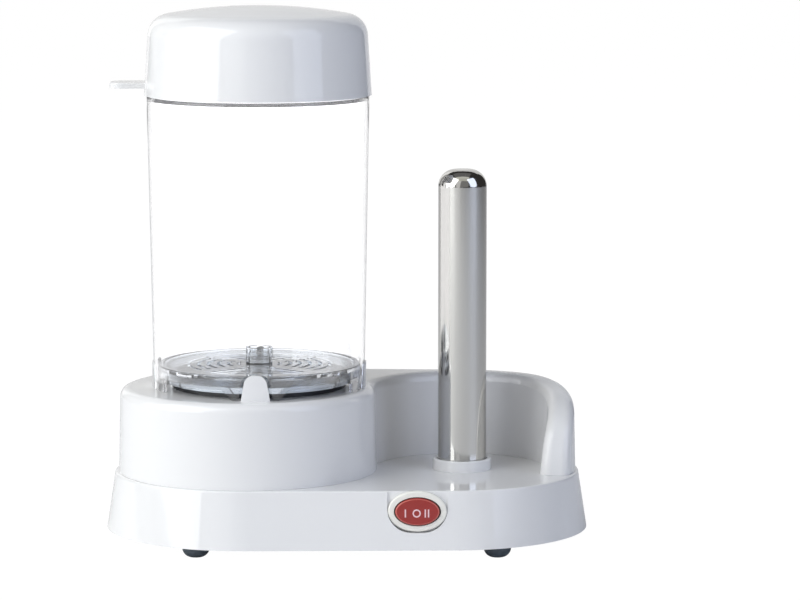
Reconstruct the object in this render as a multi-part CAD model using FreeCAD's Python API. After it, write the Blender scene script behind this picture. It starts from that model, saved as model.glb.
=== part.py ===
import FreeCAD, Part
import math
import os

V = FreeCAD.Vector
os.makedirs("parts", exist_ok=True)

# Base footprint: two arcs joined by straight sides, millimetres, +Z up
left_arc_x = -53.4
left_arc_radius = 71.5
right_arc_offset = 5.7
right_arc_radius = 69.3
skirt_flare = 4.7
skirt_height = 30.7
foot_height = 7.4
deck_rounding = 1.2
housing_wall = 2.4

# Round tower under the steam cylinder
tower_ledge = 13.0
tower_height = 45.3
tower_draft = 1.1
tower_root = 5.0
top_rounding = 5.0
crease_blend = 8.0

# Splash wall round the bread bay
bay_overlap = 2.7
bay_y = 1.5
bay_radius = 46.3
bay_draft = 1.5
splash_thickness = 16.0
nose_reach = 22.8
nose_lean = 6.5
nose_dip = 0.6
nose_fullness = 9.0
wall_end = 35.0
nose_run = 44.0

# Clearances
seat_gap = 0.1
side_gap = 0.3
pin_gap = 0.05
screw_gap = 0.1
embed = 0.5
hairline = 0.001

# Steam cylinder and its lid
hood_x = -47.1
hood_radius = 56.6
hood_flare = 2.85
hood_height = 156.8
hood_wall = 2.0
spigot_height = 6.0
spigot_gap = 1.15
step_drop = 0.4
slot_start = 18.0
slot_end = 63.0
slot_height = 5.0
slot_toe = 5.2
lid_radius = 60.75
lid_height = 47.4
lid_draft = 2.6
lid_wall = 2.2
lid_crown = 6.1
lid_rounding = 12.0
tab_reach = 18.3
tab_width = 22.0
tab_thickness = 3.0
tab_drop = 3.9
vent_radius = 1.7
vent_offsets = [(-13.1, 0.0), (-1.4, 8.0)]

# Tongues that hold the cylinder
tongue_width = 15.5
tongue_height = 13.5
tongue_taper = 2.5
tongue_thickness = 2.8
tongue_corner = 5.0
tongue_inset = 0.2
notch_gap = 1.4

# Clear tray
tray_gap = 0.6
tray_rim_wall = 2.8
tray_rim_height = 6.4
tray_seat_height = 4.0
tray_seat_wall = 1.6
tray_plate_drop = 0.9
tray_plate = 2.0
tray_slot_radii = [11.3, 16.6, 22.0, 27.4, 32.8, 38.2]
tray_slot_width = 2.0
tray_spoke_width = 7.0
post_radius = 7.25
post_height = 9.0
post_wall = 2.0
post_notch = 3.0

# Water pan and its heater
pan_rim_inset = 6.6
pan_sheet = 0.8
pan_lip = 3.1
pan_step = 5.4
pan_depth = 18.0
pan_rounding = 5.0
gasket_thickness = 2.8
gasket_inset = 3.5
plate_radius = 38.0
plate_thickness = 3.0
coil_radius = 28.0
coil_tube = 3.5
coil_turn = 300.0
coil_leg = 9.0
coil_leg_radius = 3.0
coil_pin = 4.0
coil_pin_radius = 1.2
clamp_width = 12.0
clamp_thickness = 2.5
clamp_boss_offset = 58.0
thermostat_radius = 7.5
fuse_radius = 2.0
fuse_length = 12.0
fuse_offset = 15.0

# Toasting rod
rod_offset = 0.9
rod_radius = 13.0
rod_shoulder = 0.3
rod_wall = 1.0
rod_top = 162.4
rod_tip = 9.0
collar_radius = 15.75
collar_height = 6.0
rod_boss_drop = 4.0
flange_radius = 24.0
flange_thickness = 2.0
flange_screw_circle = 19.0
cartridge_radius = 5.0
cartridge_length = 150.0
cartridge_rise = 4.0
spacer_thickness = 6.0
spacer_levels = [8.0, 134.0]

# Rocker switch
switch_x = 37.8
switch_drop = 10.5
pad_setback = 0.25
pad_thickness = 3.0
pad_drop = 21.7
pad_corner = 12.5
bezel_half = (15.45, 10.8)
bezel_thickness = 2.4
bezel_rounding = 0.9
neck_half = (13.6, 9.0)
neck_length = 2.9
opening_half = (12.3, 7.7)
rocker_half = (11.6, 7.25)
rocker_stand = 1.2
rocker_plate = 4.2
rocker_depth = 7.4
rocker_tail = (4.5, 5.5)
rocker_rounding = 1.0
pivot_depth = 3.9
pivot_radius = 1.2
mark_height = 4.2
mark_width = 0.7
mark_relief = 0.15
mark_lower = 0.7
bar_offsets = [-6.3, 4.1, 5.8]
ring_offset = -0.4
ring_radius = 2.15
body_half = (13.0, 8.1)
pocket_depth = 2.5
pocket_gap = 1.0
body_depth = 16.0
blade_width = 6.3
blade_thickness = 0.8
blade_length = 8.0
blade_offsets = [-8.0, 0.0, 8.0]

# Bottom cover, feet and screws
cover_recess = 0.6
cover_thickness = 2.0
foot_radius = 7.25
foot_rounding = 5.0
foot_stem = 2.4
foot_barb = 1.0
foot_barb_height = 1.6
left_foot_x = -79.0
right_foot_x = 80.1
foot_y = 53.0
boss_radius = 4.0
left_boss_reach = 60.5
left_boss_angle = 38.0
right_boss_x = 88.0
right_boss_y = 34.0
screw_radius = 1.5
screw_head_radius = 2.8
screw_head_height = 1.8
screw_length = 9.0
cover_slot_length = 34.0
cover_slot_width = 3.0
cover_slot_pitch = 8.0
cover_slot_count = 5

# Cord inlet and terminal block at the back
inlet_x = 20.0
inlet_drop = 15.6
inlet_pad_half = 10.5
inlet_pad_setback = 0.3
gland_flange_radius = 8.5
gland_flange = 2.5
gland_barrel_radius = 6.0
gland_barrel = 11.0
gland_bore = 3.8
nut_radius = 9.0
nut_thickness = 4.0
block_length = 26.0
block_width = 14.0
block_height = 11.0
block_y = 40.0
block_stand = 5.0
block_screw_spread = 9.0
block_entry = 8.0
lead_radius = 1.1
lead_run = 12.0
lead_turn = 14.0
lead_rise = 6.0

tower_radius = hood_radius + tower_ledge
bay_top_radius = bay_radius + bay_draft
bay_x = left_arc_x + tower_radius + bay_top_radius - bay_overlap
right_arc_x = bay_x - right_arc_offset
rod_x = bay_x + rod_offset
skirt_z = foot_height
deck_z = skirt_z + skirt_height
tower_z = deck_z + tower_height
hood_z = tower_z + seat_gap
shoulder_z = hood_z + hood_height
lid_z = shoulder_z + seat_gap
ceiling_z = tower_z - housing_wall
cover_z = skirt_z + cover_recess
cover_top = cover_z + cover_thickness
tongue_inner = hood_radius - hood_wall + tongue_inset
tongue_outer = tongue_inner + tongue_thickness
tray_radius = tongue_inner - tray_gap
pan_rim_radius = hood_radius - pan_rim_inset
gasket_radius = pan_rim_radius - gasket_inset
pan_flange_z = tower_z + gasket_thickness + 2 * pin_gap
pan_lip_z = pan_flange_z + pan_lip
pan_body_radius = pan_rim_radius - pan_step
pan_hole_radius = pan_body_radius + side_gap
pan_floor_z = pan_flange_z - pan_depth
tray_seat_z = pan_lip_z + seat_gap
tray_plate_z = tray_seat_z + tray_seat_height
tray_top = tray_plate_z + tray_plate + tray_plate_drop
plate_z = pan_floor_z - seat_gap - plate_thickness
coil_z = plate_z - seat_gap - coil_tube
coil_pin_z = coil_z - coil_leg - coil_pin
clamp_z = coil_z - coil_tube - seat_gap - clamp_thickness
switch_z = deck_z - switch_drop
inlet_z = deck_z - inlet_drop


def cylinder(x, y, z, radius, height):
    return Part.makeCylinder(radius, height, V(x, y, z))


def cone(x, y, z0, z1, r0, r1):
    if abs(r0 - r1) < 1e-6:
        return cylinder(x, y, z0, r0, z1 - z0)
    return Part.makeCone(r0, r1, z1 - z0, V(x, y, z0))


def box(x0, x1, y0, y1, z0, z1):
    return Part.makeBox(x1 - x0, y1 - y0, z1 - z0, V(x0, y0, z0))


def along_y(x, y0, y1, z, radius):
    return Part.makeCylinder(radius, y1 - y0, V(x, y0, z), V(0, 1, 0))


def oval(x, y0, y1, z, half):
    centre = V(x, y0, z)
    curve = Part.Ellipse(V(x + half[0], y0, z), V(x, y0, z + half[1]), centre)
    face = Part.Face(Part.Wire(curve.toShape()))
    return face.extrude(V(0, y1 - y0, 0))


def ring(x, z0, z1, inner, outer):
    return cylinder(x, 0, z0, outer, z1 - z0).cut(cylinder(x, 0, z0 - 1, inner, z1 - z0 + 2))


def spin(points, x):
    corners = [V(r, 0, z) for r, z in points]
    face = Part.Face(Part.makePolygon(corners + [corners[0]]))
    solid = face.revolve(V(0, 0, 0), V(0, 0, 1), 360)
    solid.translate(V(x, 0, 0))
    return solid


def turned(shape, x, angle):
    copy = shape.copy()
    copy.rotate(V(x, 0, 0), V(0, 0, 1), angle)
    return copy


# Rounding can leave hairline gaps where fillets run out, so they are closed after it
def round_edges(shape, radius, chosen):
    edges = [edge for edge in shape.Edges if chosen(edge)]
    rounded = shape.makeFillet(radius, edges)
    if not rounded.isValid():
        rounded.fix(hairline / 10, hairline / 100, hairline)
    return rounded


def flat_at(edge, z):
    bounds = edge.BoundBox
    return abs(bounds.ZMin - z) < 0.01 and abs(bounds.ZMax - z) < 0.01


def save(node, shape):
    solids = shape.removeSplitter() if shape.ShapeType != "Compound" else shape
    print(node, solids.isValid(), len(solids.Solids), round(solids.Volume))
    solids.exportStep("parts/" + node + ".step")


# Two cones and the straight sides that touch both, with one slope all round
def hull(x1, r1, x2, r2, z0, z1):
    solid = cone(x1, 0, z0, z1, r1(z0), r1(z1)).fuse(cone(x2, 0, z0, z1, r2(z0), r2(z1)))
    for side in (1, -1):
        angle = side * math.acos((r1(z0) - r2(z0)) / (x2 - x1))
        out = V(math.cos(angle), math.sin(angle), 0)
        sections = []
        for z in (z0, z1):
            near = V(x1, 0, z)
            far = V(x2, 0, z)
            corners = [near, near + out * r1(z), far + out * r2(z), far, near]
            sections.append(Part.makePolygon(corners))
        solid = solid.fuse(Part.makeLoft(sections, True, True))
    return solid


def base_hull(inset, z0, z1):
    def left(z):
        return left_arc_radius - inset + skirt_flare * (deck_z - z) / skirt_height

    def right(z):
        return right_arc_radius - inset + skirt_flare * (deck_z - z) / skirt_height

    return hull(left_arc_x, left, right_arc_x, right, z0, z1).removeSplitter()


def lean(z):
    return tower_draft * (z - deck_z) / tower_height


# Where two circles cross, on the side of larger y
def crossing(x1, y1, r1, x2, y2, r2):
    span = math.hypot(x2 - x1, y2 - y1)
    along = (r1 * r1 - r2 * r2 + span * span) / (2 * span)
    off = math.sqrt(r1 * r1 - along * along)
    ux = (x2 - x1) / span
    uy = (y2 - y1) / span
    return x1 + along * ux - off * uy, y1 + along * uy + off * ux


def on_circle(x, y, z, radius, angle):
    return V(x + radius * math.cos(angle), y + radius * math.sin(angle), z)


def arc(x, y, z, radius, start, end):
    points = [on_circle(x, y, z, radius, angle) for angle in (start, (start + end) / 2, end)]
    return Part.Arc(*points).toShape()


# Plan of the round tower and the splash wall at one level
def plan(inset, z):
    tower = tower_radius - inset - lean(z)
    wall = bay_radius + splash_thickness - inset - lean(z)
    bay = bay_radius + inset + bay_draft * (z - deck_z) / tower_height
    blend = crease_blend + inset
    px, py = crossing(left_arc_x, 0, tower + blend, bay_x, bay_y, bay - blend)
    span = math.hypot(bay_x - left_arc_x, bay_y)
    out = math.atan2(bay_y, bay_x - left_arc_x) + math.acos((tower - wall) / span)
    end = -math.radians(wall_end)
    tower_turn = math.atan2(py, px - left_arc_x)
    bay_turn = math.atan2(py - bay_y, px - bay_x)
    edges = [arc(left_arc_x, 0, z, tower, tower_turn, out - 2 * math.pi)]
    tower_side = on_circle(left_arc_x, 0, z, tower, out)
    edges.append(Part.makeLine(tower_side, on_circle(bay_x, bay_y, z, wall, out)))
    edges.append(arc(bay_x, bay_y, z, wall, out, end))
    outside = on_circle(bay_x, bay_y, z, wall, end)
    edges.append(Part.makeLine(outside, on_circle(bay_x, bay_y, z, bay, end)))
    edges.append(arc(bay_x, bay_y, z, bay, end, bay_turn))
    edges.append(arc(px, py, z, blend, bay_turn, tower_turn + math.pi))
    return Part.Wire(edges)


# The splash wall's end leans back and its top corner dips in one curve
def nose_cut(inset, low):
    points = [
        V(0, nose_run + inset, tower_z - inset),
        V(0, nose_run / 2 + inset, tower_z - nose_dip - inset),
        V(0, inset - nose_reach + nose_fullness, tower_z - nose_lean - inset),
        V(0, inset - nose_reach + 1, (deck_z + tower_z) / 2 - inset),
        V(0, inset - nose_reach, deck_z),
    ]
    curve = Part.BezierCurve()
    curve.setPoles(points)
    far = -bay_radius - splash_thickness
    high = tower_z + nose_lean
    tail = (points[-1] - points[-2]) * ((deck_z - low) / (points[-2].z - deck_z))
    corners = [points[-1], points[-1] + tail, V(0, far, low), V(0, far, high)]
    corners += [V(0, points[0].y, high), points[0]]
    edges = [curve.toShape()]
    edges += [Part.makeLine(a, b) for a, b in zip(corners[:-1], corners[1:])]
    side = Part.Face(Part.Wire(edges)).extrude(V(bay_radius + splash_thickness + 1, 0, 0))
    side.translate(V(bay_x, 0, 0))
    return side


def upper_form(inset, z0, z1):
    solid = Part.makeLoft([plan(inset, z0), plan(inset, z1)], True, True)
    return solid.cut(nose_cut(inset, z0 - 1))


def on_top(edge):
    return flat_at(edge, tower_z) and edge.BoundBox.YLength > 0.5


def boss(x, y, low, high):
    return cylinder(x, y, low, boss_radius, high - low)


def pilot(x, y, low, depth):
    return cylinder(x, y, low - 1, screw_radius + screw_gap, depth + 1)


def screw(x, y, face_z, length):
    head = cylinder(x, y, face_z - screw_head_height, screw_head_radius, screw_head_height)
    head = round_edges(head, screw_head_height / 3, lambda e: flat_at(e, face_z - screw_head_height))
    return head.fuse(cylinder(x, y, face_z - embed, screw_radius, length + embed))


def left_boss_places():
    reach = math.radians(left_boss_angle)
    dx = left_boss_reach * math.cos(reach)
    dy = left_boss_reach * math.sin(reach)
    return [(left_arc_x - dx, side * dy) for side in (-1, 1)]


def right_boss_places():
    return [(right_boss_x, side * right_boss_y) for side in (-1, 1)]


def boss_places():
    return left_boss_places() + right_boss_places()


def skirt_y(x, z):
    share = (x - left_arc_x) / (right_arc_x - left_arc_x)
    at_deck = left_arc_radius + share * (right_arc_radius - left_arc_radius)
    return at_deck + skirt_flare * (deck_z - z) / skirt_height


pad_y = -skirt_y(switch_x, deck_z) + pad_setback
pad_half_width = bezel_half[0] + side_gap
inlet_y = skirt_y(inlet_x, inlet_z + inlet_pad_half) - inlet_pad_setback


# The flat seat that the switch stands on, round at its lower corners
def switch_pad(y0, y1, high):
    low = deck_z - pad_drop
    solid = box(switch_x - pad_half_width, switch_x + pad_half_width, y0, y1, low, high)
    return round_edges(solid, pad_corner, lambda e: e.BoundBox.YLength > 1 and e.BoundBox.ZMax < low + 1)


# One tongue, grown by a clearance to make the notch that clears it
def tongue(grow, low):
    high = tower_z + tongue_height + grow
    half = tongue_width / 2 + grow
    profile = [(-half, low), (half, low), (half, tower_z), (half - tongue_taper, high)]
    profile += [(tongue_taper - half, high), (-half, tower_z)]
    front = -tongue_outer - tongue_thickness
    corners = [V(hood_x + x, front, z) for x, z in profile]
    slab = Part.Face(Part.makePolygon(corners + [corners[0]])).extrude(V(0, 3 * tongue_thickness, 0))
    return round_edges(slab, tongue_corner + grow, lambda e: flat_at(e, high) and e.BoundBox.YLength > 2)


def tongues():
    slab = tongue(0, ceiling_z + embed)
    band = ring(hood_x, ceiling_z, tower_z + tongue_height + 1, tongue_inner, tongue_outer)
    one = slab.common(band)
    return [turned(one, hood_x, quarter * 90) for quarter in range(4)]


def rod_boss_places():
    places = []
    for third in range(3):
        angle = math.radians(90 + third * 120)
        dx = flange_screw_circle * math.cos(angle)
        places.append((rod_x + dx, flange_screw_circle * math.sin(angle)))
    return places


rod_boss_z = deck_z - housing_wall - rod_boss_drop
rod_foot_radius = rod_radius - rod_shoulder
rod_shoulder_z = deck_z + collar_height + 2 * pin_gap
clamp_boss_z = clamp_z + clamp_thickness + seat_gap


# Skirt and deck, open under the hollow tower and splash wall
def main_housing():
    outer = base_hull(0, skirt_z, deck_z)
    outer = round_edges(outer, deck_rounding, lambda e: flat_at(e, deck_z))
    inner = base_hull(housing_wall, skirt_z - 1, deck_z - housing_wall)
    shell = outer.cut([inner, upper_form(housing_wall, deck_z - tower_root, deck_z + 1)])
    front = pad_y - 2 * skirt_flare
    shell = shell.fuse(switch_pad(pad_y, pad_y + pad_thickness, deck_z - 1))
    shell = shell.cut(switch_pad(front, pad_y, deck_z + 1))
    hole = (neck_half[0] + side_gap, neck_half[1] + side_gap)
    shell = shell.cut(oval(switch_x, pad_y - 1, pad_y + pad_thickness + 1, switch_z, hole))
    left = inlet_x - inlet_pad_half
    right = inlet_x + inlet_pad_half
    low = inlet_z - inlet_pad_half
    high = inlet_z + inlet_pad_half
    shell = shell.fuse(box(left, right, inlet_y - pad_thickness, inlet_y, low, high))
    shell = shell.cut(box(left, right, inlet_y, inlet_y + 2 * skirt_flare, low, high))
    hole_radius = gland_barrel_radius + side_gap
    shell = shell.cut(along_y(inlet_x, inlet_y - pad_thickness - 1, inlet_y + 1, inlet_z, hole_radius))
    low = cover_top + seat_gap
    under_deck = deck_z - housing_wall + embed
    posts = [boss(x, y, low, under_deck) for x, y in right_boss_places()]
    posts += [boss(x, y, rod_boss_z, under_deck) for x, y in rod_boss_places()]
    holes = [pilot(x, y, low, screw_length) for x, y in right_boss_places()]
    holes += [pilot(x, y, rod_boss_z, rod_boss_drop + 1) for x, y in rod_boss_places()]
    holes.append(cylinder(rod_x, 0, deck_z - housing_wall - 1, rod_radius + side_gap, housing_wall + 2))
    return shell.fuse(posts).cut(holes)


# Tower and splash wall in one hollow moulding that stands on the deck
def tower_shell():
    outer = upper_form(0, deck_z - tower_root, tower_z)
    outer = round_edges(outer, top_rounding, on_top)
    shell = outer.cut(upper_form(housing_wall, deck_z - tower_root - 1, ceiling_z))
    reach = 2 * tower_radius
    below = box(left_arc_x - reach, bay_x + reach, -reach, reach, 0, deck_z + pin_gap)
    shell = shell.cut([below, cylinder(hood_x, 0, ceiling_z - 1, pan_hole_radius, housing_wall + 2)])
    low = cover_top + seat_gap
    posts = [boss(x, y, low, ceiling_z + embed) for x, y in left_boss_places()]
    holes = [pilot(x, y, low, screw_length) for x, y in left_boss_places()]
    for side in (-1, 1):
        y = side * clamp_boss_offset
        posts.append(boss(hood_x, y, clamp_boss_z, ceiling_z + embed))
        holes.append(pilot(hood_x, y, clamp_boss_z, screw_length))
    return shell.fuse(posts + tongues()).cut(holes)


def foot(x, y):
    pad = cylinder(x, y, 0, foot_radius, cover_z - seat_gap)
    pad = round_edges(pad, foot_rounding, lambda e: flat_at(e, 0))
    stem_low = cover_z - seat_gap - embed
    stem = cylinder(x, y, stem_low, foot_stem, cover_top + seat_gap - stem_low)
    barb = cylinder(x, y, cover_top + seat_gap, foot_stem + foot_barb, foot_barb_height)
    return pad.fuse([stem, barb])


def foot_places():
    return {
        "foot_front_left": (left_foot_x, -foot_y),
        "foot_front_right": (right_foot_x, -foot_y),
        "foot_rear_left": (left_foot_x, foot_y),
        "foot_rear_right": (right_foot_x, foot_y),
    }


def block_screw_places():
    return [(inlet_x + side * block_screw_spread, block_y) for side in (-1, 1)]


def bottom_cover():
    plate = base_hull(housing_wall + side_gap, cover_z, cover_top)
    for x, y in block_screw_places():
        plate = plate.fuse(boss(x, y, cover_top - embed, cover_top + block_stand))
    cuts = []
    for x, y in foot_places().values():
        cuts.append(cylinder(x, y, cover_z - 1, foot_stem + pin_gap, cover_thickness + 2))
    for x, y in boss_places():
        cuts.append(cylinder(x, y, cover_z - 1, screw_radius + screw_gap, cover_thickness + 2))
    for x, y in block_screw_places():
        cuts.append(cylinder(x, y, cover_top, screw_radius + screw_gap, block_stand + 1))
    for row in range(cover_slot_count):
        offset = (row - (cover_slot_count - 1) / 2) * cover_slot_pitch
        half = cover_slot_width / 2
        y0 = offset - half
        x0 = hood_x - cover_slot_length / 2
        cuts.append(box(x0, x0 + cover_slot_length, y0, y0 + cover_slot_width, cover_z - 1, cover_top + 1))
    return plate.cut(cuts)


def water_pan():
    lip_in = pan_rim_radius - pan_sheet
    body_in = pan_body_radius - pan_sheet
    outer = cylinder(hood_x, 0, pan_floor_z, pan_body_radius, pan_depth)
    outer = round_edges(outer, pan_rounding, lambda e: flat_at(e, pan_floor_z))
    floor = pan_floor_z + pan_sheet
    inner = cylinder(hood_x, 0, floor, body_in, pan_depth + 1)
    inner = round_edges(inner, pan_rounding - pan_sheet, lambda e: flat_at(e, floor))
    flange = cylinder(hood_x, 0, pan_flange_z, pan_rim_radius, pan_sheet)
    lip = ring(hood_x, pan_flange_z, pan_lip_z, lip_in, pan_rim_radius)
    return outer.fuse([flange, lip]).cut(inner)


def pan_heater():
    torus = Part.makeTorus(coil_radius, coil_tube, V(0, 0, 0), V(0, 0, 1), 0, 360, coil_turn)
    torus.rotate(V(0, 0, 0), V(0, 0, 1), (360 - coil_turn) / 2)
    torus.translate(V(hood_x, 0, coil_z))
    pieces = []
    for x, y in coil_ends():
        pieces.append(Part.makeSphere(coil_tube, V(x, y, coil_z)))
        pieces.append(cylinder(x, y, coil_z - coil_leg, coil_leg_radius, coil_leg))
        pieces.append(cylinder(x, y, coil_pin_z, coil_pin_radius, coil_pin + embed))
    return torus.fuse(pieces)


def coil_ends():
    half = math.radians((360 - coil_turn) / 2)
    x = hood_x + coil_radius * math.cos(half)
    y = coil_radius * math.sin(half)
    return [(x, -y), (x, y)]


def pan_clamp():
    reach = clamp_boss_offset + boss_radius
    half = clamp_width / 2
    bar = box(hood_x - half, hood_x + half, -reach, reach, clamp_z, clamp_z + clamp_thickness)
    holes = []
    for side in (-1, 1):
        y = side * clamp_boss_offset
        holes.append(cylinder(hood_x, y, clamp_z - 1, screw_radius + screw_gap, clamp_thickness + 2))
    return bar.cut(holes)


def lid_form(inset):
    low = lid_z - 1 if inset else lid_z
    top = lid_z + lid_height - inset
    rim = lid_radius - inset + (lid_draft / lid_height if inset else 0)
    edge = lid_radius - inset - lid_draft
    side = top - lid_crown
    profile = [V(0, 0, low), V(rim, 0, low), V(edge, 0, side)]
    sphere = (edge * edge + lid_crown * lid_crown) / (2 * lid_crown)
    half = edge / 2
    mid = V(half, 0, top - sphere + math.sqrt(sphere * sphere - half * half))
    edges = [Part.makeLine(profile[0], profile[1]), Part.makeLine(profile[1], profile[2])]
    edges.append(Part.Arc(profile[2], mid, V(0, 0, top)).toShape())
    edges.append(Part.makeLine(V(0, 0, top), profile[0]))
    solid = Part.Face(Part.Wire(edges)).revolve(V(0, 0, 0), V(0, 0, 1), 360)
    solid.translate(V(hood_x, 0, 0))
    return round_edges(solid, lid_rounding - inset, lambda e: flat_at(e, side))


def lid():
    outer = lid_form(0)
    tip = hood_x - lid_radius - tab_reach
    tab_z = lid_z + tab_drop
    tab = box(tip, hood_x - lid_radius + 3, -tab_width / 2, tab_width / 2, tab_z, tab_z + tab_thickness)
    tab = round_edges(tab, tab_width / 3, lambda e: e.BoundBox.ZLength > 1 and e.BoundBox.XMax < tip + 1)
    tab = round_edges(tab, tab_thickness / 4, lambda e: flat_at(e, tab_z + tab_thickness))
    shell = outer.fuse(tab).cut(lid_form(lid_wall))
    vents = []
    for dx, dy in vent_offsets:
        vents.append(cylinder(hood_x + dx, dy, lid_z + lid_height / 2, vent_radius, lid_height))
    return shell.cut(vents)


def steam_cylinder():
    wide = hood_radius + hood_flare
    spigot = lid_radius - lid_wall - spigot_gap
    top = shoulder_z + spigot_height
    inner_low = hood_radius - hood_wall
    inner_top = spigot - hood_wall
    inner_wide = wide - hood_wall
    profile = [
        (hood_radius, hood_z),
        (wide, shoulder_z),
        (spigot, shoulder_z),
        (spigot, top),
        (inner_top, top),
        (inner_top, shoulder_z - step_drop),
        (inner_wide - hood_flare * 2 * hood_wall / hood_height, shoulder_z - step_drop - hood_wall),
        (inner_low, hood_z),
    ]
    solid = spin(profile, hood_x)
    notch = tongue(notch_gap, hood_z - 1)
    cuts = [turned(notch, hood_x, quarter * 90) for quarter in range(4)]
    for start in (slot_start, -slot_end, 180 + slot_start, 180 - slot_end):
        cuts.append(turned(steam_slot(), hood_x, start - 90))
    for side in (1, -1):
        for half_turn in (0, 180):
            cuts.append(turned(slot_ramp(side), hood_x, half_turn))
    return solid.cut(cuts)


# A steam slot open to the bottom edge, drawn from the x axis round to the left
def steam_slot():
    height = slot_height + 1
    low = V(hood_x, 0, hood_z - 1)
    reach = hood_radius + hood_flare + 1
    wedge = Part.makeCylinder(reach, height, low, V(0, 0, 1), slot_end - slot_start)
    return wedge.cut(cylinder(hood_x, 0, hood_z - 2, hood_radius - hood_wall - 1, height + 2))


# The sloping end of a slot beside the front tongue
def slot_ramp(side):
    top = hood_radius * math.sin(math.radians(slot_start))
    profile = [(top - slot_toe, hood_z - 1), (top + 1, hood_z - 1), (top + 1, hood_z + slot_height)]
    profile += [(top, hood_z + slot_height), (top - slot_toe, hood_z)]
    corners = [V(hood_x + side * x, -hood_radius - 1, z) for x, z in profile]
    depth = hood_radius + 1 - (hood_radius - hood_wall) * math.cos(math.radians(slot_start)) + 1
    return Part.Face(Part.makePolygon(corners + [corners[0]])).extrude(V(0, depth, 0))


def sausage_tray():
    plate_low = tray_plate_z
    plate_top = plate_low + tray_plate
    rim = ring(hood_x, tray_top - tray_rim_height, tray_top, tray_radius - tray_rim_wall, tray_radius)
    rim = round_edges(rim, tray_plate_drop / 2, lambda e: flat_at(e, tray_top))
    seat = ring(hood_x, tray_seat_z, plate_low + embed, pan_rim_radius - tray_seat_wall, pan_rim_radius)
    disc = cylinder(hood_x, 0, plate_low, tray_radius - tray_rim_wall / 2, tray_plate)
    post = cylinder(hood_x, 0, plate_low, post_radius, tray_plate + post_height)
    cuts = []
    half = tray_spoke_width / 2
    arms = []
    for angle in (45, -45):
        arm = box(hood_x - tray_radius, hood_x + tray_radius, -half, half, plate_low - 2, plate_top + 2)
        arms.append(turned(arm, hood_x, angle))
    for radius in tray_slot_radii:
        width = tray_slot_width / 2
        gap = ring(hood_x, plate_low - 1, plate_top + 1, radius - width, radius + width)
        cuts.append(gap.cut(arms))
    hollow = post_radius - post_wall
    top = plate_top + post_height
    cuts.append(cylinder(hood_x, 0, plate_top + 1, hollow, post_height))
    reach = post_radius + 1
    side = post_notch / 2
    notch = box(hood_x - reach, hood_x + reach, -side, side, top - post_notch, top + 1)
    for angle in (0, 90):
        cuts.append(turned(notch, hood_x, angle))
    return rim.fuse([seat, disc, post]).cut(cuts)


# Round rod, a little thinner below the shoulder that clears its collar
def toasting_rod():
    low = rod_boss_z - seat_gap - flange_thickness
    height = deck_z + rod_top - low
    outer = cylinder(rod_x, 0, rod_shoulder_z, rod_radius, low + height - rod_shoulder_z)
    outer = round_edges(outer, rod_tip, lambda e: flat_at(e, low + height))
    outer = outer.fuse(cylinder(rod_x, 0, low, rod_foot_radius, rod_shoulder_z + embed - low))
    inner = cylinder(rod_x, 0, low - 1, rod_radius - rod_wall, height + 1 - rod_wall)
    inner = round_edges(inner, rod_tip - rod_wall, lambda e: flat_at(e, low + height - rod_wall))
    return outer.cut(inner)


def rod_flange():
    low = rod_boss_z - seat_gap - flange_thickness
    plate = cylinder(rod_x, 0, low, flange_radius, flange_thickness)
    cuts = [cylinder(rod_x, 0, low - 1, rod_foot_radius + pin_gap, flange_thickness + 2)]
    for x, y in rod_boss_places():
        cuts.append(cylinder(x, y, low - 1, screw_radius + screw_gap, flange_thickness + 2))
    return plate.cut(cuts)


def rod_collar():
    low = deck_z + pin_gap
    solid = ring(rod_x, low, low + collar_height, rod_radius + side_gap, collar_radius)
    return round_edges(solid, collar_height / 8, lambda e: flat_at(e, low + collar_height))


def switch_bezel():
    front = pad_y - seat_gap - bezel_thickness
    back = front + bezel_thickness + neck_length
    flange = oval(switch_x, front, pad_y - seat_gap, switch_z, bezel_half)
    flange = round_edges(flange, bezel_rounding, lambda e: e.BoundBox.YMax < front + 0.01)
    neck = oval(switch_x, front + 1, back, switch_z, neck_half)
    solid = flange.fuse(neck).cut(oval(switch_x, front - 1, back + 1, switch_z, opening_half))
    reach = neck_half[1] + 1
    return solid.cut(pivot_bore(front + pivot_depth, reach))


def pivot_bore(y, reach):
    return cylinder(switch_x, y, switch_z - reach, pivot_radius + pin_gap, 2 * reach)


# A block behind the switch, given by its half width and half height
def slab(half, y0, y1):
    return box(switch_x - half[0], switch_x + half[0], y0, y1, switch_z - half[1], switch_z + half[1])


def switch_rocker():
    front = pad_y - seat_gap - bezel_thickness
    face = front - rocker_stand
    solid = oval(switch_x, face, face + rocker_plate, switch_z, rocker_half)
    solid = round_edges(solid, rocker_rounding, lambda e: e.BoundBox.YMax < face + 0.01)
    solid = solid.fuse(slab(rocker_tail, face + 1, face + rocker_depth))
    return solid.cut(pivot_bore(front + pivot_depth, neck_half[1]))


def rocker_marks():
    face = pad_y - seat_gap - bezel_thickness - rocker_stand
    z = switch_z - mark_lower
    half = mark_height / 2
    marks = []
    for offset in bar_offsets:
        left = switch_x + offset - mark_width / 2
        marks.append(box(left, left + mark_width, face - mark_relief, face, z - half, z + half))
    x = switch_x + ring_offset
    outer = along_y(x, face - mark_relief, face, z, ring_radius)
    marks.append(outer.cut(along_y(x, face - 1, face + 1, z, ring_radius - mark_width)))
    return Part.makeCompound(marks)


def switch_pivot_pin():
    y = pad_y - seat_gap - bezel_thickness + pivot_depth
    return cylinder(switch_x, y, switch_z - neck_half[1], pivot_radius, 2 * neck_half[1])


body_y = pad_y + pad_thickness + seat_gap


def switch_body():
    solid = slab(body_half, body_y, body_y + body_depth)
    solid = round_edges(solid, rocker_rounding, lambda e: e.BoundBox.YLength > 2)
    pocket = [half + pocket_gap for half in rocker_tail]
    return solid.cut(slab(pocket, body_y - 1, body_y + pocket_depth))


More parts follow.
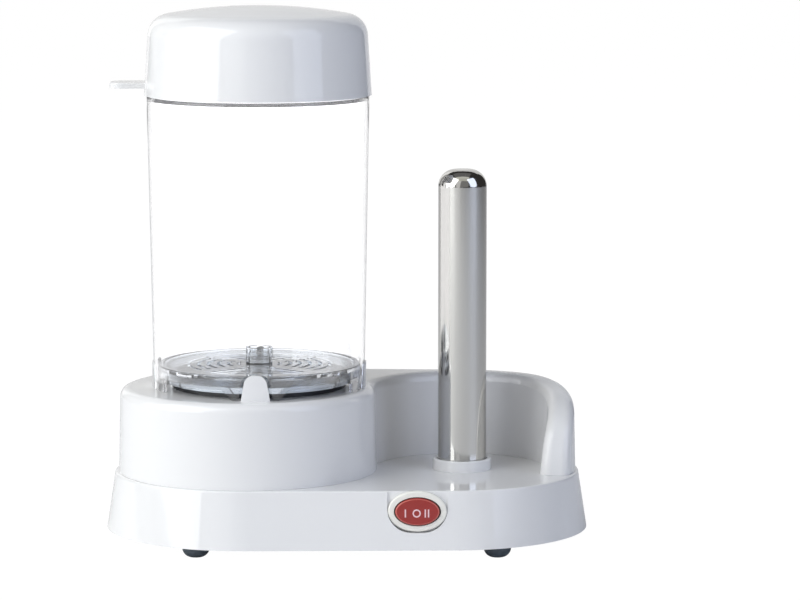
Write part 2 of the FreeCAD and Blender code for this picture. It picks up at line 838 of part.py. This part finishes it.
def switch_terminals():
    y0 = body_y + body_depth + pin_gap
    blades = []
    for offset in blade_offsets:
        x0 = switch_x + offset - blade_thickness / 2
        z0 = switch_z - blade_width / 2
        blades.append(box(x0, x0 + blade_thickness, y0, y0 + blade_length, z0, z0 + blade_width))
    return Part.makeCompound(blades)


def cord_gland():
    outer = inlet_y + seat_gap
    inner = outer - gland_barrel
    flange = along_y(inlet_x, outer, outer + gland_flange, inlet_z, gland_flange_radius)
    flange = round_edges(flange, gland_flange / 3, lambda e: e.BoundBox.YMin > outer + gland_flange - 0.01)
    barrel = along_y(inlet_x, inner, outer + embed, inlet_z, gland_barrel_radius)
    return flange.fuse(barrel).cut(along_y(inlet_x, inner - 1, outer + gland_flange + 1, inlet_z, gland_bore))


def gland_nut():
    y0 = inlet_y - pad_thickness - seat_gap - nut_thickness
    corners = []
    for sixth in range(7):
        angle = math.radians(60 * sixth)
        corners.append(V(inlet_x + nut_radius * math.cos(angle), y0, inlet_z + nut_radius * math.sin(angle)))
    solid = Part.Face(Part.makePolygon(corners)).extrude(V(0, nut_thickness, 0))
    bore = gland_barrel_radius + pin_gap
    return solid.cut(along_y(inlet_x, y0 - 1, y0 + nut_thickness + 1, inlet_z, bore))


block_z = cover_top + block_stand + seat_gap


def terminal_block():
    x0 = inlet_x - block_length / 2
    y0 = block_y - block_width / 2
    solid = box(x0, x0 + block_length, y0, y0 + block_width, block_z, block_z + block_height)
    holes = []
    for x, y in block_screw_places():
        holes.append(cylinder(x, y, block_z - 1, screw_radius + screw_gap, block_height + 2))
    return solid.cut(holes)


def block_screw(x, y):
    top = block_z + block_height
    head = cylinder(x, y, top, screw_head_radius, screw_head_height)
    shank_low = cover_top + block_stand / 3
    return head.fuse(cylinder(x, y, shank_low, screw_radius, top - shank_low + embed))


# A lead is straight runs joined by arcs that touch both runs
def lead(points):
    nodes = [V(*point) for point in points]
    edges = []
    start = nodes[0]
    for index in range(1, len(nodes) - 1):
        corner = nodes[index]
        back = nodes[index - 1] - corner
        ahead = nodes[index + 1] - corner
        turn = math.pi - back.getAngle(ahead)
        cut = 0.45 * min(back.Length, ahead.Length)
        back.normalize()
        ahead.normalize()
        radius = cut / math.tan(turn / 2)
        first = corner + back * cut
        last = corner + ahead * cut
        centre_way = (back + ahead).normalize()
        centre = corner + centre_way * math.hypot(cut, radius)
        middle = centre - centre_way * radius
        edges.append(Part.makeLine(start, first))
        edges.append(Part.Arc(first, middle, last).toShape())
        start = last
    edges.append(Part.makeLine(start, nodes[-1]))
    path = Part.Wire(edges)
    section = Part.Wire(Part.Circle(nodes[0], nodes[1] - nodes[0], lead_radius).toShape())
    return path.makePipeShell([section], True, False)


def leads():
    blade_end = body_y + body_depth + blade_length + 2 * pin_gap
    block_front = block_y - block_width / 2 - pin_gap
    block_left = inlet_x - block_length / 2 - pin_gap
    block_mid = block_z + block_height / 2
    lower = cover_top + 3 * lead_radius
    blade_x = [switch_x + offset for offset in blade_offsets]
    end_low = coil_pin_z - pin_gap
    front_end = coil_ends()[0]
    rear_end = coil_ends()[1]
    routes = {
        "lead_supply": [
            (blade_x[1], blade_end, switch_z),
            (blade_x[1], blade_end + lead_run, switch_z),
            (inlet_x + block_entry, block_front - lead_turn, block_mid),
            (inlet_x + block_entry, block_front, block_mid),
        ],
        "lead_pan": [
            (blade_x[0], blade_end, switch_z),
            (blade_x[0], blade_end + lead_run, switch_z),
            (front_end[0] + 18, front_end[1] - 2, switch_z + lead_rise),
            (front_end[0], front_end[1], end_low - lead_turn),
            (front_end[0], front_end[1], end_low),
        ],
        "lead_pan_return": [
            (block_left, block_y, block_mid),
            (block_left - lead_turn, block_y, block_mid),
            (rear_end[0] + 3, rear_end[1] + 6, block_mid + lead_rise),
            (rear_end[0], rear_end[1], end_low - lead_turn),
            (rear_end[0], rear_end[1], end_low),
        ],
        "lead_rod": [
            (blade_x[2], blade_end, switch_z),
            (blade_x[2], blade_end + 8, switch_z),
            (rod_x - 2, -3, lower + 4),
            (rod_x - 2, -2, lower + 12),
            (rod_x - 2, -2, cartridge_z - pin_gap),
        ],
    }
    return routes


cartridge_z = rod_boss_z - flange_thickness - seat_gap + cartridge_rise
node_shapes = {
    "main_housing": main_housing,
    "tower_shell": tower_shell,
    "bottom_cover": bottom_cover,
    "water_pan": water_pan,
    "pan_heater": pan_heater,
    "pan_clamp": pan_clamp,
    "steam_cylinder": steam_cylinder,
    "lid": lid,
    "sausage_tray": sausage_tray,
    "toasting_rod": toasting_rod,
    "rod_flange": rod_flange,
    "rod_collar": rod_collar,
    "switch_bezel": switch_bezel,
    "switch_rocker": switch_rocker,
    "rocker_marks": rocker_marks,
    "switch_pivot_pin": switch_pivot_pin,
    "switch_body": switch_body,
    "switch_terminals": switch_terminals,
    "cord_gland": cord_gland,
    "gland_nut": gland_nut,
    "terminal_block": terminal_block,
}
for node, make in node_shapes.items():
    save(node, make())
for node, (x, y) in foot_places().items():
    save(node, foot(x, y))
for node, points in leads().items():
    save(node, lead(points))

gasket_z = tower_z + pin_gap
save("pan_gasket", ring(hood_x, gasket_z, gasket_z + gasket_thickness, pan_hole_radius, gasket_radius))
save("heater_plate", cylinder(hood_x, 0, plate_z, plate_radius, plate_thickness))
thermostat_low = clamp_z + clamp_thickness + seat_gap
thermostat_height = plate_z - seat_gap - thermostat_low
save("pan_thermostat", cylinder(hood_x, 0, thermostat_low, thermostat_radius, thermostat_height))
fuse_z = plate_z - seat_gap - fuse_radius
fuse_start = V(hood_x - fuse_length / 2, fuse_offset, fuse_z)
save("thermal_fuse", Part.makeCylinder(fuse_radius, fuse_length, fuse_start, V(1, 0, 0)))
save("cover_screws", Part.makeCompound([screw(x, y, cover_z, screw_length) for x, y in boss_places()]))
flange_face = rod_boss_z - seat_gap - flange_thickness
rod_screws = [screw(x, y, flange_face, rod_boss_drop + flange_thickness) for x, y in rod_boss_places()]
save("rod_flange_screws", Part.makeCompound(rod_screws))
clamp_screws = [screw(hood_x, side * clamp_boss_offset, clamp_z, screw_length) for side in (-1, 1)]
save("pan_clamp_screws", Part.makeCompound(clamp_screws))
save("terminal_block_screws", Part.makeCompound([block_screw(x, y) for x, y in block_screw_places()]))
save("rod_heater", cylinder(rod_x, 0, cartridge_z, cartridge_radius, cartridge_length))
spacers = []
for level in spacer_levels:
    outer = rod_radius - rod_wall - pin_gap
    low = deck_z + level
    spacers.append(ring(rod_x, low, low + spacer_thickness, cartridge_radius + pin_gap, outer))
save("rod_heater_spacers", Part.makeCompound(spacers))
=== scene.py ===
import math

import bpy
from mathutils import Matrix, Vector


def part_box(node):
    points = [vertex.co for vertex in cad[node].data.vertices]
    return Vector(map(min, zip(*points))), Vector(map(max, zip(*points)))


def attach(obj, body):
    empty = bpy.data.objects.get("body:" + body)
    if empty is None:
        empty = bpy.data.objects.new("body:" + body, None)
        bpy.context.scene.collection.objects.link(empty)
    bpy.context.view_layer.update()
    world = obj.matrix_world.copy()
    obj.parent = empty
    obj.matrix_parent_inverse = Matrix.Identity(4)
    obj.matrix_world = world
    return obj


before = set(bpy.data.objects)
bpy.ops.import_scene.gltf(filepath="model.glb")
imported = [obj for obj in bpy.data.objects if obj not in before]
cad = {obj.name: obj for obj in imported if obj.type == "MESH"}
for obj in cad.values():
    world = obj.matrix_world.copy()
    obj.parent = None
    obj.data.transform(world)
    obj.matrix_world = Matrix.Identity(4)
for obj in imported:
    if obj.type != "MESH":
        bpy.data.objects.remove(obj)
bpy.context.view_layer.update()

# Depths of the surface reliefs, in metres
grain_depth = 0.00025
ripple_depth = 0.0004
streak_depth = 0.00005

# Share of dust on the plastic faces that look up
dust_amount = 0.06

# How far a streaked pattern is drawn out along each axis
drawn_upright = (1.0, 1.0, 0.01)
drawn_along_blade = (1.0, 0.02, 1.0)
undrawn = (1.0, 1.0, 1.0)

# Raised edge of the rocker, its width in metres
rim_width = 0.0007
rim_steps = 96
rim_section_steps = 16

# Camera at the photograph's place: millimetres, metres and degrees
sensor_width = 36.0
lens_length = 166.5
camera_place = (0.0287, -1.97348, 0.38364)
camera_dip = 7.33

# Studio round the object, in metres
floor_size = 30
studio_middle = Vector((0, 0, 0.15))
studio_reach = 2.4
world_tint = (1.0, 0.95, 0.92)
world_strength = 0.04

# Glow of the floor as the camera sees it, directly and through the clear plastic
glow_share = 0.95
floor_glow = 1.05
extra_glow_through_clear = 0.3


# Shared shader effects
def new_group(name, inputs, outputs):
    group = bpy.data.node_groups.new(name, "ShaderNodeTree")
    for label, kind, value in inputs:
        socket = group.interface.new_socket(label, in_out="INPUT", socket_type=kind)
        socket.default_value = value
    for label, kind in outputs:
        group.interface.new_socket(label, in_out="OUTPUT", socket_type=kind)
    tree = group.nodes
    start = tree.new("NodeGroupInput")
    end = tree.new("NodeGroupOutput")
    return group, tree, group.links, start, end


def moulded_grain():
    group, tree, links, start, end = new_group(
        "moulded_grain",
        [("Size", "NodeSocketFloat", 900.0), ("Waviness", "NodeSocketFloat", 60.0)],
        [("Height", "NodeSocketFloat")],
    )
    where = tree.new("ShaderNodeTexCoord")
    fine = tree.new("ShaderNodeTexNoise")
    fine.inputs["Detail"].default_value = 3.0
    broad = tree.new("ShaderNodeTexNoise")
    broad.inputs["Detail"].default_value = 2.0
    total = tree.new("ShaderNodeMath")
    total.operation = "MULTIPLY_ADD"
    total.inputs[1].default_value = 0.25
    links.new(where.outputs["Object"], fine.inputs["Vector"])
    links.new(where.outputs["Object"], broad.inputs["Vector"])
    links.new(start.outputs["Size"], fine.inputs["Scale"])
    links.new(start.outputs["Waviness"], broad.inputs["Scale"])
    links.new(fine.outputs["Fac"], total.inputs[0])
    links.new(broad.outputs["Fac"], total.inputs[2])
    links.new(total.outputs[0], end.inputs["Height"])
    return group


def handling_smears():
    group, tree, links, start, end = new_group(
        "handling_smears",
        [
            ("Scale", "NodeSocketFloat", 14.0),
            ("Clean", "NodeSocketFloat", 0.1),
            ("Smeared", "NodeSocketFloat", 0.3),
        ],
        [("Roughness", "NodeSocketFloat")],
    )
    where = tree.new("ShaderNodeTexCoord")
    patches = tree.new("ShaderNodeTexNoise")
    patches.inputs["Detail"].default_value = 5.0
    patches.inputs["Roughness"].default_value = 0.65
    patches.inputs["Distortion"].default_value = 0.6
    spread = tree.new("ShaderNodeMapRange")
    spread.inputs["From Min"].default_value = 0.45
    spread.inputs["From Max"].default_value = 0.75
    mixed = tree.new("ShaderNodeMapRange")
    links.new(where.outputs["Object"], patches.inputs["Vector"])
    links.new(start.outputs["Scale"], patches.inputs["Scale"])
    links.new(patches.outputs["Fac"], spread.inputs["Value"])
    links.new(spread.outputs["Result"], mixed.inputs["Value"])
    links.new(start.outputs["Clean"], mixed.inputs["To Min"])
    links.new(start.outputs["Smeared"], mixed.inputs["To Max"])
    links.new(mixed.outputs["Result"], end.inputs["Roughness"])
    return group


def settled_dust():
    group, tree, links, start, end = new_group(
        "settled_dust",
        [
            ("Clean", "NodeSocketColor", (1, 1, 1, 1)),
            ("Dusty", "NodeSocketColor", (0.5, 0.5, 0.5, 1)),
            ("Amount", "NodeSocketFloat", 0.1),
        ],
        [("Colour", "NodeSocketColor")],
    )
    where = tree.new("ShaderNodeTexCoord")
    facing = tree.new("ShaderNodeNewGeometry")
    split = tree.new("ShaderNodeSeparateXYZ")
    flecks = tree.new("ShaderNodeTexNoise")
    flecks.inputs["Scale"].default_value = 220.0
    flecks.inputs["Detail"].default_value = 4.0
    upward = tree.new("ShaderNodeMapRange")
    upward.inputs["From Min"].default_value = 0.2
    upward.inputs["From Max"].default_value = 1.0
    speck = tree.new("ShaderNodeMath")
    speck.operation = "MULTIPLY"
    share = tree.new("ShaderNodeMath")
    share.operation = "MULTIPLY"
    mix = tree.new("ShaderNodeMix")
    mix.data_type = "RGBA"
    links.new(where.outputs["Object"], flecks.inputs["Vector"])
    links.new(facing.outputs["Normal"], split.inputs[0])
    links.new(split.outputs["Z"], upward.inputs["Value"])
    links.new(upward.outputs["Result"], speck.inputs[0])
    links.new(flecks.outputs["Fac"], speck.inputs[1])
    links.new(speck.outputs[0], share.inputs[0])
    links.new(start.outputs["Amount"], share.inputs[1])
    links.new(share.outputs[0], mix.inputs["Factor"])
    links.new(start.outputs["Clean"], mix.inputs["A"])
    links.new(start.outputs["Dusty"], mix.inputs["B"])
    links.new(mix.outputs["Result"], end.inputs["Colour"])
    return group


def drawn_streaks():
    group, tree, links, start, end = new_group(
        "drawn_streaks",
        [
            ("Stretch", "NodeSocketVector", (1.0, 1.0, 0.02)),
            ("Scale", "NodeSocketFloat", 1500.0),
            ("Low", "NodeSocketFloat", 0.1),
            ("High", "NodeSocketFloat", 0.2),
        ],
        [("Roughness", "NodeSocketFloat"), ("Height", "NodeSocketFloat")],
    )
    where = tree.new("ShaderNodeTexCoord")
    drawn = tree.new("ShaderNodeVectorMath")
    drawn.operation = "MULTIPLY"
    lines = tree.new("ShaderNodeTexNoise")
    lines.inputs["Detail"].default_value = 3.0
    mixed = tree.new("ShaderNodeMapRange")
    mixed.inputs["From Min"].default_value = 0.3
    mixed.inputs["From Max"].default_value = 0.7
    links.new(where.outputs["Object"], drawn.inputs[0])
    links.new(start.outputs["Stretch"], drawn.inputs[1])
    links.new(drawn.outputs[0], lines.inputs["Vector"])
    links.new(start.outputs["Scale"], lines.inputs["Scale"])
    links.new(lines.outputs["Fac"], mixed.inputs["Value"])
    links.new(start.outputs["Low"], mixed.inputs["To Min"])
    links.new(start.outputs["High"], mixed.inputs["To Max"])
    links.new(mixed.outputs["Result"], end.inputs["Roughness"])
    links.new(lines.outputs["Fac"], end.inputs["Height"])
    return group


grain = moulded_grain()
smears = handling_smears()
dust = settled_dust()
streaks = drawn_streaks()


def place(tree, group, **values):
    node = tree.nodes.new("ShaderNodeGroup")
    node.node_tree = group
    for label, value in values.items():
        node.inputs[label.replace("_", " ")].default_value = value
    return node


def new_material(name, colour, **sockets):
    material = bpy.data.materials.new(name)
    material.use_nodes = True
    tree = material.node_tree
    shader = tree.nodes["Principled BSDF"]
    shader.inputs["Base Color"].default_value = (*colour, 1)
    for label, value in sockets.items():
        shader.inputs[label.replace("_", " ")].default_value = value
    return material, tree, shader


def add_bump(tree, shader, height, strength, distance):
    bump = tree.nodes.new("ShaderNodeBump")
    bump.inputs["Strength"].default_value = strength
    bump.inputs["Distance"].default_value = distance
    tree.links.new(height, bump.inputs["Height"])
    tree.links.new(bump.outputs["Normal"], shader.inputs["Normal"])


def plastic(name, colour, dusty, clean, smeared, bump):
    material, tree, shader = new_material(name, colour)
    rough = place(tree, smears, Scale=16.0, Clean=clean, Smeared=smeared)
    tree.links.new(rough.outputs["Roughness"], shader.inputs["Roughness"])
    tint = place(tree, dust, Clean=(*colour, 1), Dusty=(*dusty, 1), Amount=dust_amount)
    tree.links.new(tint.outputs["Colour"], shader.inputs["Base Color"])
    skin = place(tree, grain, Size=1100.0, Waviness=55.0)
    add_bump(tree, shader, skin.outputs["Height"], bump, grain_depth)
    return material


def clear_plastic(name, colour, clean, smeared):
    material, tree, shader = new_material(name, colour, Transmission_Weight=1.0, IOR=1.49)
    rough = place(tree, smears, Scale=22.0, Clean=clean, Smeared=smeared)
    tree.links.new(rough.outputs["Roughness"], shader.inputs["Roughness"])
    skin = place(tree, grain, Size=90.0, Waviness=18.0)
    add_bump(tree, shader, skin.outputs["Height"], strength=0.02, distance=ripple_depth)
    return material


def metal(name, colour, stretch, scale, low, high, bump):
    material, tree, shader = new_material(name, colour, Metallic=1.0)
    lines = place(tree, streaks, Stretch=stretch, Scale=scale, Low=low, High=high)
    tree.links.new(lines.outputs["Roughness"], shader.inputs["Roughness"])
    add_bump(tree, shader, lines.outputs["Height"], bump, streak_depth)
    return material


# Plastics and rubber: colour, colour of their dust, then roughness where clean and where smeared
white = plastic(
    "glossy_white_plastic", (0.812, 0.812, 0.822), (0.55, 0.55, 0.54), clean=0.055, smeared=0.11, bump=0.025
)
cream = plastic(
    "satin_cream_plastic", (0.86, 0.85, 0.80), (0.5, 0.48, 0.45), clean=0.24, smeared=0.34, bump=0.08
)
red = plastic(
    "red_rocker_plastic", (0.33, 0.030, 0.026), (0.35, 0.2, 0.18), clean=0.20, smeared=0.30, bump=0.06
)
# Lighter red for the rocker's rim: a painted highlight where its rounded edge catches the light
painted_highlight_red = plastic(
    "red_edge_painted_highlight", (0.52, 0.12, 0.10), (0.5, 0.3, 0.25), clean=0.16, smeared=0.26, bump=0.04
)
marks = plastic(
    "pale_mark_paint", (0.86, 0.62, 0.66), (0.6, 0.5, 0.5), clean=0.4, smeared=0.5, bump=0.05
)
black = plastic(
    "black_moulding", (0.02, 0.02, 0.022), (0.1, 0.1, 0.1), clean=0.35, smeared=0.5, bump=0.15
)
rubber = plastic(
    "slate_rubber", (0.078, 0.100, 0.122), (0.16, 0.16, 0.16), clean=0.42, smeared=0.6, bump=0.2
)
silicone = plastic(
    "black_silicone", (0.014, 0.016, 0.02), (0.1, 0.1, 0.1), clean=0.35, smeared=0.5, bump=0.1
)
sleeve = plastic(
    "wire_sleeve", (0.55, 0.54, 0.5), (0.4, 0.4, 0.38), clean=0.45, smeared=0.6, bump=0.2
)
ceramic = plastic(
    "cream_ceramic", (0.62, 0.6, 0.54), (0.4, 0.4, 0.38), clean=0.45, smeared=0.6, bump=0.2
)

# Clear mouldings
clear = clear_plastic("clear_plastic", (0.985, 0.985, 0.995), clean=0.008, smeared=0.03)
tray_clear = clear_plastic("tray_plastic", (0.89, 0.915, 0.94), clean=0.01, smeared=0.04)

# Metals: colour, streaks, then the lowest and highest roughness along them
steel = metal(
    "polished_steel", (0.62, 0.61, 0.585), drawn_upright, scale=1800.0, low=0.07, high=0.13, bump=0.03
)
pressed = metal(
    "pressed_steel", (0.46, 0.50, 0.55), undrawn, scale=700.0, low=0.12, high=0.2, bump=0.05
)
plated = metal(
    "plated_steel", (0.52, 0.52, 0.54), undrawn, scale=500.0, low=0.25, high=0.4, bump=0.08
)
aluminium = metal(
    "cast_aluminium", (0.62, 0.62, 0.63), undrawn, scale=900.0, low=0.35, high=0.55, bump=0.15
)
brass = metal(
    "brass_blades", (0.66, 0.5, 0.24), drawn_along_blade, scale=1200.0, low=0.2, high=0.35, bump=0.05
)

# Finish of each node; the screws, heaters and other fittings not named here are plated steel
finishes = {
    "main_housing": white,
    "tower_shell": white,
    "lid": white,
    "rod_collar": white,
    "bottom_cover": white,
    "steam_cylinder": clear,
    "sausage_tray": tray_clear,
    "water_pan": pressed,
    "toasting_rod": steel,
    "switch_bezel": cream,
    "switch_rocker": red,
    "rocker_marks": marks,
    "switch_body": black,
    "cord_gland": black,
    "gland_nut": black,
    "pan_thermostat": black,
    "pan_gasket": silicone,
    "heater_plate": aluminium,
    "rod_heater_spacers": ceramic,
    "terminal_block": ceramic,
    "switch_terminals": brass,
}


def finish_of(name):
    if name.startswith("foot"):
        return rubber
    if name.startswith("lead"):
        return sleeve
    return finishes.get(name, plated)


for name, node in cad.items():
    node.data.materials.clear()
    node.data.materials.append(finish_of(name))


# Put an object's place, turn and size into its mesh
def settle(piece):
    bpy.ops.object.select_all(action="DESELECT")
    bpy.context.view_layer.objects.active = piece
    piece.select_set(True)
    bpy.ops.object.transform_apply(location=True, rotation=True, scale=True)


# Raised rim round the face of the rocker, coloured a lighter red as a painted highlight on its rounded edge
def rocker_rim():
    low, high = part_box("switch_rocker")
    middle = (low + high) / 2
    half = (high - low) / 2
    bpy.ops.object.select_all(action="DESELECT")
    bpy.ops.mesh.primitive_torus_add(
        major_segments=rim_steps,
        minor_segments=rim_section_steps,
        major_radius=half.x - rim_width,
        minor_radius=rim_width,
        location=(middle.x, low.y + rim_width, middle.z),
        rotation=(math.pi / 2, 0, 0),
    )
    rim = bpy.context.object
    rim.name = "rocker_rim"
    settle(rim)
    bpy.ops.object.mode_set(mode="EDIT")
    bpy.ops.mesh.select_all(action="SELECT")
    flat = (half.z - rim_width) / (half.x - rim_width)
    bpy.ops.transform.resize(value=(1, 1, flat), center_override=(middle.x, low.y, middle.z))
    bpy.ops.object.mode_set(mode="OBJECT")
    bpy.ops.object.shade_smooth()
    rim.data.materials.append(painted_highlight_red)
    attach(rim, "rocker")


rocker_rim()


def add_camera():
    data = bpy.data.cameras.new("camera")
    data.sensor_width = sensor_width
    data.lens = lens_length
    camera = bpy.data.objects.new("camera", data)
    bpy.context.scene.collection.objects.link(camera)
    camera.location = camera_place
    camera.rotation_euler = (math.radians(90 - camera_dip), 0, 0)
    bpy.context.scene.camera = camera


# A soft box at an angle round the object and above the floor, facing its middle
def soft_box(name, around, above, width, height, radiance, colour=(1, 1, 1)):
    data = bpy.data.lights.new(name, "AREA")
    data.shape = "RECTANGLE"
    data.size = width
    data.size_y = height
    data.energy = radiance * math.pi * width * height
    data.color = colour
    light = bpy.data.objects.new(name, data)
    bpy.context.scene.collection.objects.link(light)
    turn = math.radians(around)
    rise = math.radians(above)
    way = Vector((math.sin(turn) * math.cos(rise), -math.cos(turn) * math.cos(rise), math.sin(rise)))
    light.location = studio_middle + way * studio_reach
    light.rotation_euler = (-way).to_track_quat("-Z", "Y").to_euler()
    light.visible_camera = False


def pale_floor():
    surface, tree, shader = new_material("pale_floor", (0.86, 0.86, 0.87), Roughness=0.65)
    speckle = place(tree, grain, Size=60.0, Waviness=9.0)
    add_bump(tree, shader, speckle.outputs["Height"], strength=0.02, distance=ripple_depth)
    glow = tree.nodes.new("ShaderNodeEmission")
    glow.inputs["Color"].default_value = (1.0, 1.0, 1.0, 1)
    path = tree.nodes.new("ShaderNodeLightPath")
    seen = tree.nodes.new("ShaderNodeMath")
    seen.operation = "MAXIMUM"
    share = tree.nodes.new("ShaderNodeMath")
    share.operation = "MULTIPLY"
    share.inputs[1].default_value = glow_share
    strength = tree.nodes.new("ShaderNodeMath")
    strength.operation = "MULTIPLY_ADD"
    strength.inputs[1].default_value = extra_glow_through_clear
    strength.inputs[2].default_value = floor_glow
    tree.links.new(path.outputs["Is Transmission Ray"], strength.inputs[0])
    tree.links.new(strength.outputs[0], glow.inputs["Strength"])
    blend = tree.nodes.new("ShaderNodeMixShader")
    tree.links.new(path.outputs["Is Camera Ray"], seen.inputs[0])
    tree.links.new(path.outputs["Is Transmission Ray"], seen.inputs[1])
    tree.links.new(seen.outputs[0], share.inputs[0])
    tree.links.new(share.outputs[0], blend.inputs["Fac"])
    tree.links.new(shader.outputs["BSDF"], blend.inputs[1])
    tree.links.new(glow.outputs["Emission"], blend.inputs[2])
    tree.links.new(blend.outputs["Shader"], tree.nodes["Material Output"].inputs["Surface"])
    return surface


def add_studio():
    bpy.ops.object.select_all(action="DESELECT")
    bpy.ops.mesh.primitive_plane_add(size=floor_size, location=(0, 0, 0))
    floor = bpy.context.object
    floor.name = "studio_floor"
    floor.data.materials.append(pale_floor())
    world = bpy.data.worlds.new("studio")
    bpy.context.scene.world = world
    world.use_nodes = True
    background = world.node_tree.nodes["Background"]
    background.inputs["Color"].default_value = (*world_tint, 1)
    background.inputs["Strength"].default_value = world_strength
    soft_box("left_box", -63, 29, width=2.4, height=2.6, radiance=3.2, colour=(0.98, 1.0, 1.0))
    soft_box("left_edge_box", -98, 15, width=0.7, height=1.3, radiance=1.2)
    soft_box("front_card", 0, 22, width=2.6, height=1.9, radiance=0.2)
    soft_box("left_front_card", -22, 22, width=0.9, height=1.9, radiance=0.5)
    soft_box("front_high_card", 0, 60, width=2.4, height=1.4, radiance=0.56, colour=(1.0, 1.0, 0.9))
    soft_box("right_card", 54, 28, width=1.5, height=2.3, radiance=1.9, colour=(0.72, 0.80, 1.0))
    soft_box("back_card", 180, 22, width=2.9, height=2.2, radiance=0.74)
    soft_box("back_left_card", -142, 22, width=1.6, height=1.8, radiance=0.35)
    soft_box("top_card", 0, 88, width=2.2, height=2.2, radiance=0.12)


bpy.context.scene.view_settings.view_transform = "Standard"
add_camera()
add_studio()
